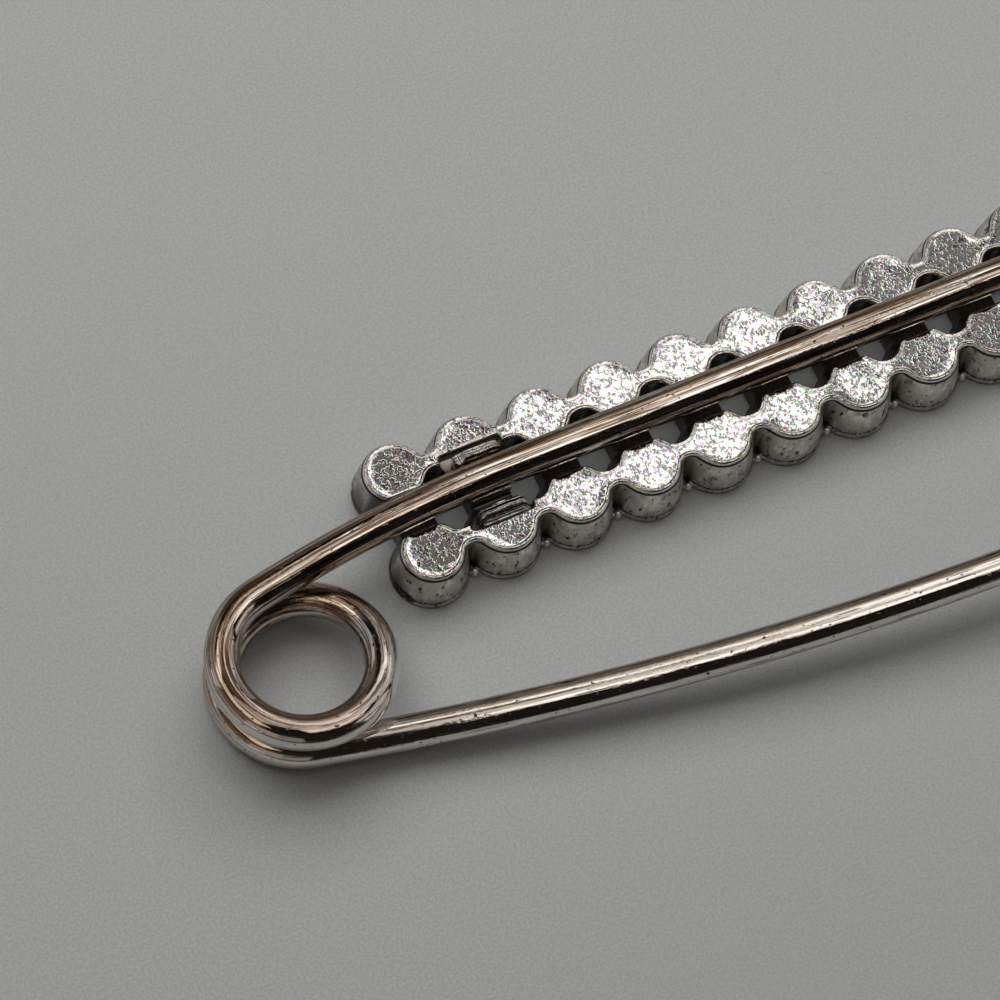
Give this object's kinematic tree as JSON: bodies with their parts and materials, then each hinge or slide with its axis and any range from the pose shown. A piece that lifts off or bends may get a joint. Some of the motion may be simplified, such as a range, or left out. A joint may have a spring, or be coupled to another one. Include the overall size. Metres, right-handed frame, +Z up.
{
  "type": "safety pin brooch",
  "caption": "Large coil-sprung safety pin with a cast two-row stone bar crimped on its fixed wire and a hollow hood that catches the point, lying on its stones.",
  "frame": {"origin": "on the surface the brooch lies on, under the middle of its bounding box", "axes": "+X along the bar from the coil to the hood, +Y across it away from the pin arm, +Z up out of the brooch's back, with the stones' fronts down"},
  "size_m": [0.0756, 0.0206, 0.0055],
  "materials": {
    "bar_metal": "bright plated casting, pebbled back faces and satin walls",
    "wire_metal": "polished drawn wire with fine scratches",
    "hood_metal": "polished formed sheet",
    "stone": "clear cut glass"
  },
  "bodies": {
    "brooch": {"bar": "bar_metal", "back_wire": "wire_metal", "clasp_cap": "hood_metal", "upper_stone_1": "stone", "upper_stone_2": "stone", "upper_stone_3": "stone", "upper_stone_4": "stone", "upper_stone_5": "stone", "upper_stone_6": "stone", "upper_stone_7": "stone", "upper_stone_8": "stone", "upper_stone_9": "stone", "upper_stone_10": "stone", "upper_stone_11": "stone", "upper_stone_12": "stone", "lower_stone_1": "stone", "lower_stone_2": "stone", "lower_stone_3": "stone", "lower_stone_4": "stone", "lower_stone_5": "stone", "lower_stone_6": "stone", "lower_stone_7": "stone", "lower_stone_8": "stone", "lower_stone_9": "stone", "lower_stone_10": "stone", "lower_stone_11": "stone", "lower_stone_12": "stone"},
    "arm": {"pin_wire": "wire_metal"}
  },
  "joints": [
    {"name": "arm_press", "type": "hinge", "parent": "brooch", "child": "arm", "pos_m": [-0.03295, 0.00046, 0.0016], "axis": [0, 0, 1], "range_deg": [0, 8], "stiffness_Nm_per_rad": 2.7}
  ]
}
